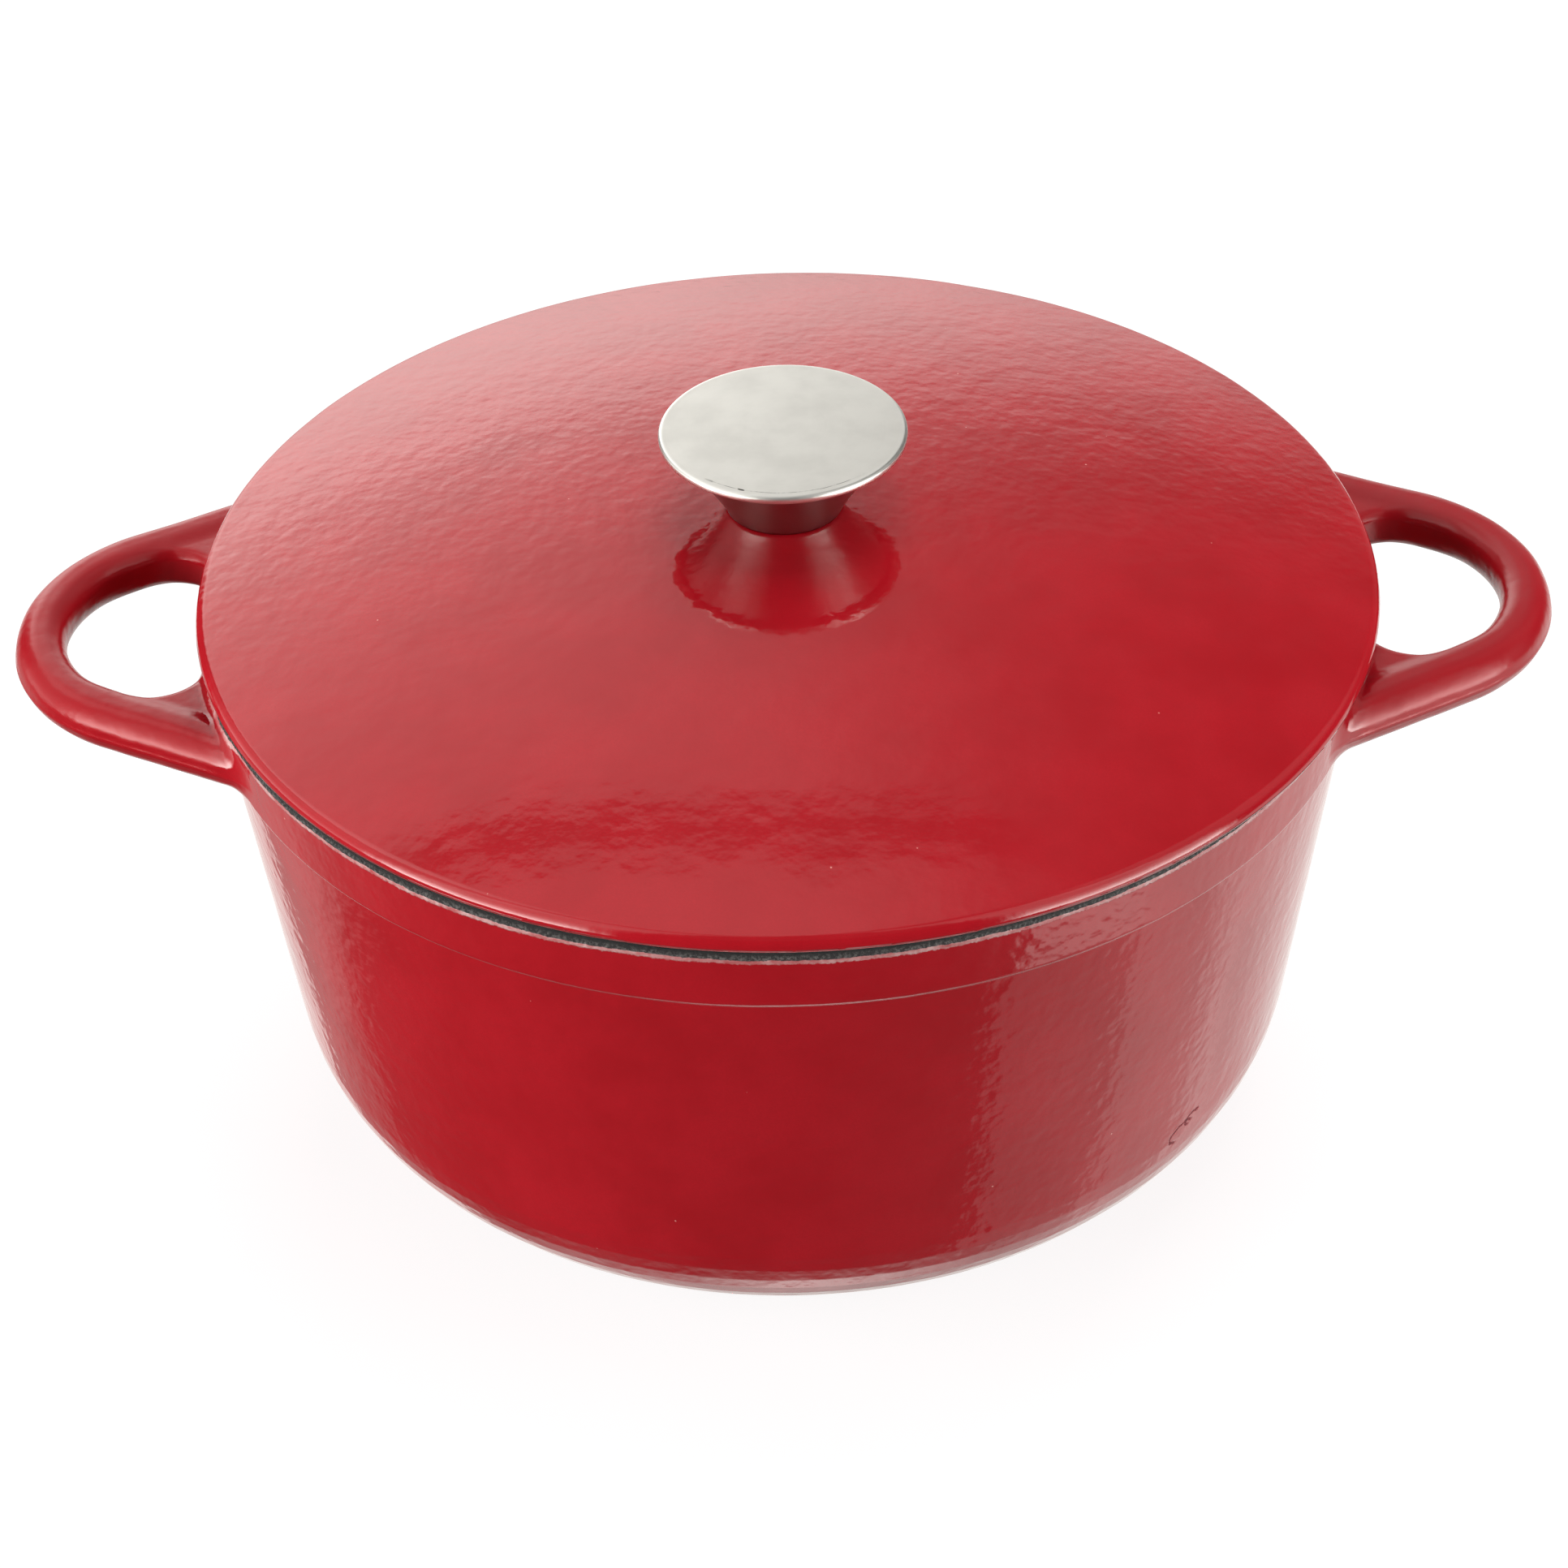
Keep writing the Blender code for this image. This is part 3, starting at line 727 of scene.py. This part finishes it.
def lid_ripple(look):
    """The lid's coat lies smoother towards its front."""
    return look.ramp(look.y, -0.06, 0.02, 0.45, 1.7)


def pot_inside_bare(look):
    return look.ramp(frayed_height(look, 1.5, 0.0008), *POT_INSIDE_BARE)


def pot_inside_line(look):
    return look.math("MULTIPLY", look.ramp(frayed_height(look, 1.2, 0.0008), *POT_INSIDE_LINE), 0.5)


def lid_inside_bare(look):
    return look.ramp(look.math("ADD", look.radius, look.wander(0.0016, 1.6, 3.0, 0.65)), *LID_INSIDE_BARE)


def lid_inside_line(look):
    return look.math("MULTIPLY", look.ramp(look.radius, *LID_INSIDE_LINE), 0.4)


def steel(name, colour, low, high, marks=None):
    """Satin stainless steel with a faint turned grain."""
    look = Look(name)
    turned = look.add("ShaderNodeCombineXYZ", X=look.math("MULTIPLY", look.radius, 40.0),
                      Y=look.math("MULTIPLY", look.z, 40.0)).outputs[0]
    grain = look.add("ShaderNodeTexNoise", Vector=turned, Scale=120.0, Detail=3.0, Roughness=0.6).outputs[0]
    cloud = look.noise(9.0, 3.0, 0.55)
    tone = look.mix(look.ramp(cloud, 0.3, 0.75), darker(colour, 1.0), darker(colour, 0.93))
    tone = look.mix(look.math("MULTIPLY", grain, 0.10), tone, darker(colour, 0.8))
    rough = look.ramp(look.blend(0.35, cloud, grain), 0.3, 0.7, low, high)
    if marks:
        rough = look.blend(look.ramp(from_lid_axis(look), 0.0270, 0.0275), rough, 0.36)
        share = marks(look)
        tone = look.mix(share, tone, CAP_DARK_MARK)
        rough = look.blend(share, rough, 0.6)
    scratches = look.bump(grain, 0.0008)
    return look.finish(tone, rough, look.bump(look.noise(0.6, 1.0), 0.0008, scratches), 1.0)


def cap_marks(look):
    """A fine dark line inside the cap's front edge, with two small dark marks on it."""
    off_ring = look.math("SUBTRACT", from_lid_axis(look), 0.0262)
    offset = look.math("ABSOLUTE", look.math("ADD", off_ring, look.wander(0.0007, 7.0)))
    line = look.ramp(offset, 0.00004, 0.00011, 1.0, 0.0)
    front = look.ramp(look.y, -0.0225, -0.0185, 1.0, 0.0)
    broken = look.ramp(look.noise(2.2, 3.0, 0.6, shift=0.6), 0.40, 0.60, 0.15, 0.75)
    crease = look.math("MULTIPLY", look.math("MULTIPLY", line, front), broken)
    wide_band = look.ramp(offset, 0.00015, 0.00032, 1.0, 0.0)
    for middle, half in ((-0.0090, 0.0009), (-0.0161, 0.0012)):
        along = look.math("ABSOLUTE", look.math("SUBTRACT", look.x, middle))
        here = look.math("MULTIPLY", look.ramp(along, half * 0.5, half, 1.0, 0.0), front)
        crease = look.math("MAXIMUM", crease, look.math("MULTIPLY", here, wide_band))
    return crease


# ---------------------------------------------------------------- pieces

def make_pieces():
    red_pot = enamel("red_enamel_pot", RED, RED_DEEP, pot_bare, pot_line, pot_ripple, FIRING_MARKS)
    cream_pot = enamel("cream_enamel_pot", CREAM, CREAM_DEEP, pot_inside_bare, pot_inside_line)
    red_lid = enamel("red_enamel_lid", RED, RED_DEEP, lid_bare, lid_line, lid_ripple)
    cream_lid = enamel("cream_enamel_lid", CREAM, CREAM_DEEP, lid_inside_bare, lid_inside_line)
    satin = steel("satin_steel_cap", CAP_STEEL, 0.58, 0.65, cap_marks)
    # The stem's steel is darkened: painted shade under the cap
    polished = steel("satin_steel_stem", STEM_STEEL_PAINTED_SHADE, 0.28, 0.34)
    plated = steel("plated_steel", PLATED_STEEL, 0.28, 0.42)

    pot = lathe("pot_casting", graded(rounded(pot_corners()), 0.4, 2.0), SEGMENTS, [red_pot, cream_pot],
                shape=pot_shape, second=pot_inside)
    handles = make_handles([red_pot])
    lid = lathe("lid_casting", graded(rounded(lid_corners(), closed=True), 0.3, 1.5, closed=True), SEGMENTS,
                [cream_lid, red_lid], LID_AXIS, closed=True, shape=lid_shape, second=lid_outside)
    cap = lathe("knob_cap_steel", cap_profile(), KNOB_SEGMENTS, [satin], LID_AXIS)
    stem = lathe("knob_stem_steel", stem_profile(), KNOB_SEGMENTS, [polished], LID_AXIS, closed=True)
    screw = lathe("knob_screw_steel", graded(rounded(screw_corners()), 0.3, 1.0), 72, [plated], LID_AXIS)
    cut_slot(screw)
    washer = lathe("flat_washer_steel", washer_profile(9.0, 146.1, 147.3), 96, [plated], LID_AXIS, closed=True)
    riders = [(pot, "pot", "pot", "pot_enamel"), (lid, "lid", "lid", "lid_enamel")]
    riders += [(handle, "pot", "pot", "pot_enamel") for handle in handles]
    riders += [(cap, "lid", "knob_cap", "knob_steel"), (stem, "lid", "knob_stem", "knob_steel")]
    riders += [(screw, "lid", "knob_screw", "fastener_steel")]
    riders += [(washer, "lid_carrier", "flat_washer", "fastener_steel")]
    for piece, body, node, slot in riders:
        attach(piece, body)
        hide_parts(node)
    for node in ("knob_insert", "lock_washer"):
        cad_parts[node].data.materials.clear()
        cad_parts[node].data.materials.append(plated)


# ---------------------------------------------------------------- stage

def direction_window(angle, low, high, soft):
    """1 between two angles in degrees, falling off smoothly over soft degrees outside them."""
    inside = np.clip(np.minimum(angle - low, high - angle) / soft + 1, 0, 1)
    return inside * inside * (3 - 2 * inside)


def studio_glow(azimuth, elevation):
    """Brightness that glossy surfaces see by direction. Azimuth 0 is behind the oven, 90 at its right."""
    def by_height(heights, values):
        return np.interp(elevation, heights, values)

    # Bright backdrop at the left, which fades out towards the right
    sheen = by_height((-14, 0, 8, 14, 20, 25, 30, 36, 46, 56, 66, 90),
                      (0.0, 1.5, 2.3, 2.7, 2.9, 2.5, 2.1, 1.75, 1.3, 1.0, 0.8, 0.8))
    end = by_height((3, 16, 25, 37, 48, 57, 65, 90), (15, 7, 0, -2, 2, 9, 20, 60))
    start = by_height((18, 32, 46), (-29, -36, -80))
    sheen = sheen / (1 + np.exp((azimuth - end) / 9.5)) * np.clip((azimuth - start) / 8 + 1, 0, 1)
    middle = np.interp(azimuth, (-36, -25, -13, 4, 26), (57.7, 60.7, 63.7, 65, 62.5))
    seam = np.exp(-((elevation - middle) / 1.7) ** 2) * direction_window(azimuth, -36, 24, 12)
    glow = by_height((44, 56), (0.06, 0.14)) + sheen * (1 - seam)
    # Soft boxes at both sides of the camera, brightest along their lower edges
    left = by_height((-7, -3, 8, 22, 40, 60, 80), (0.0, 13.5, 7.5, 2.6, 1.4, 1.2, 0.5))
    right = by_height((-13, -8, 4, 18, 36, 60, 80), (0.0, 12.0, 7.0, 2.7, 1.2, 0.9, 0.4))
    glow += left * direction_window(azimuth, -138, -111, 12) + right * direction_window(azimuth, 106, 138, 9)
    glow += left * 0.16 * direction_window(azimuth, -108, -70, 20)
    above = by_height((12, 30, 64, 76), (0.0, 0.6, 0.6, 0.0))
    glow += above * (direction_window(azimuth, -104, -56, 16) + 0.7 * direction_window(azimuth, 60, 104, 16))
    # Pale table round the oven, dark in front of it
    around = (-180, -120, -95, -77, -64, -58, -48, -36, -33, 60, 63, 69, 76, 97, 101, 108, 131, 135, 150, 180)
    band = (0.02, 0.05, 0.1, 0.22, 0.42, 0.5, 0.46, 0.34, 0.95,
            1.1, 1.2, 1.2, 1.25, 1.4, 1.5, 1.9, 1.9, 0.22, 0.07, 0.02)
    wall = (0.04, 0.03, 0.03, 0.04, 0.06, 0.2, 0.3, 0.38, 1.0,
            1.0, 1.32, 1.15, 0.9, 1.0, 0.66, 0.64, 0.5, 0.13, 0.09, 0.04)
    base = (0.06, 0.1, 0.15, 0.25, 0.4, 0.5, 0.55, 0.7, 0.8,
            0.8, 0.9, 0.9, 0.8, 0.7, 0.42, 0.42, 0.42, 0.25, 0.12, 0.06)
    shares = (by_height((-45, -42, -14, -6), (0, 1, 1, 0)), by_height((-68, -61, -45, -42), (0, 1, 1, 0)),
              by_height((-68, -61), (1, 0)))
    for row, share in zip((band, wall, base), shares):
        glow += share * np.interp(azimuth, around, row)
    return glow + by_height((-90, -84, -78, -72), (1.5, 1.1, 0.4, 0.0))


def make_dome():
    """A large sphere that only glossy rays see, as bright as studio_glow says."""
    across, up, reach = 256, 128, 4.0
    azimuth, elevation = np.meshgrid(np.linspace(-180, 180, across + 1), np.linspace(-90, 90, up + 1))
    a, e = np.radians(azimuth.ravel()), np.radians(elevation.ravel())
    points = np.stack((np.sin(a) * np.cos(e), np.cos(a) * np.cos(e), np.sin(e)), 1) * reach / MM
    row = across + 1
    faces = [(i * row + j, i * row + j + 1, (i + 1) * row + j + 1, (i + 1) * row + j)
             for i in range(up) for j in range(across)]
    material = bpy.data.materials.new("studio_glow")
    material.use_nodes = True
    nodes, links = material.node_tree.nodes, material.node_tree.links
    nodes.clear()
    glow = nodes.new("ShaderNodeAttribute")
    glow.attribute_name = "glow"
    emission, output = nodes.new("ShaderNodeEmission"), nodes.new("ShaderNodeOutputMaterial")
    emission.inputs["Color"].default_value = (1.0, 0.985, 0.95, 1.0)
    links.new(glow.outputs["Fac"], emission.inputs["Strength"])
    links.new(emission.outputs[0], output.inputs["Surface"])
    material.cycles.emission_sampling = "NONE"
    dome = make_mesh("studio_dome", points, faces, [material])
    values = studio_glow(azimuth.ravel(), elevation.ravel())
    dome.data.attributes.new("glow", "FLOAT", "POINT").data.foreach_set("value", values.astype(np.float32))
    dome.visible_camera = dome.visible_diffuse = dome.visible_shadow = False
    dome.visible_transmission = dome.visible_volume_scatter = False
    return dome


def make_floor():
    size = 3000.0
    corners = [(-size, -size, 0), (size, -size, 0), (size, size, 0), (-size, size, 0)]
    material = bpy.data.materials.new("pale_floor")
    material.use_nodes = True
    shader = material.node_tree.nodes["Principled BSDF"]
    shader.inputs["Base Color"].default_value = (0.2, 0.2, 0.2, 1.0)
    shader.inputs["Roughness"].default_value = 0.9
    shader.inputs["Specular IOR Level"].default_value = 0.0
    shader.inputs["Emission Color"].default_value = (1.0, 1.0, 1.0, 1.0)
    shader.inputs["Emission Strength"].default_value = 0.86
    floor = make_mesh("floor", corners, [(0, 1, 2, 3)], [material])
    floor.visible_glossy = floor.visible_diffuse = False
    return floor


def area_light(name, place, target, width, height, watts):
    data = bpy.data.lights.new(name, "AREA")
    data.shape, data.size, data.size_y, data.energy = "RECTANGLE", width, height, watts
    light = bpy.data.objects.new(name, data)
    bpy.context.collection.objects.link(light)
    light.location = place
    light.rotation_euler = (Vector(target) - Vector(place)).to_track_quat("-Z", "Y").to_euler()
    light.visible_glossy = False
    return light


def make_stage():
    make_floor()
    make_dome()
    world = bpy.data.worlds.new("studio")
    bpy.context.scene.world = world
    world.use_nodes = True
    nodes, links = world.node_tree.nodes, world.node_tree.links
    direction, axes = nodes.new("ShaderNodeTexCoord"), nodes.new("ShaderNodeSeparateXYZ")
    links.new(direction.outputs["Generated"], axes.inputs[0])
    fade = nodes.new("ShaderNodeMapRange")
    links.new(axes.outputs["Z"], fade.inputs["Value"])
    for socket, number in zip(fade.inputs[1:5], (-0.15, 0.15, 0.15, 0.07)):
        socket.default_value = number
    sky = nodes["Background"]
    sky.inputs["Color"].default_value = (1.0, 1.0, 1.0, 1.0)
    links.new(fade.outputs[0], sky.inputs["Strength"])
    world.cycles_visibility.glossy = False
    middle, side, front, up = (0, 0, 0.08), 1.632, 0.659, 0.455
    area_light("left_light", (-side, -front, up), middle, 2.4, 0.9, 52.0)
    area_light("right_light", (side, -front, up), middle, 2.4, 0.9, 34.0)
    area_light("back_light", (0.45, 1.38, 1.25), middle, 1.8, 0.9, 23.0)
    area_light("top_light", (0.12, 0.28, 2.0), middle, 1.2, 1.2, 14.0)
    bpy.context.scene.view_settings.view_transform = "Standard"


def make_camera():
    """Long lens, looking down on the oven from the front."""
    data = bpy.data.cameras.new("camera")
    data.sensor_width = 36.0
    data.lens = 99.894
    data.clip_end = 30.0
    camera = bpy.data.objects.new("camera", data)
    bpy.context.collection.objects.link(camera)
    camera.location = (-0.009314, -0.831614, 0.701240)
    camera.rotation_euler = [math.radians(angle) for angle in (52.9468, 1.2769, -1.5324)]
    bpy.context.scene.camera = camera


make_pieces()
make_stage()
make_camera()
bpy.context.view_layer.update()
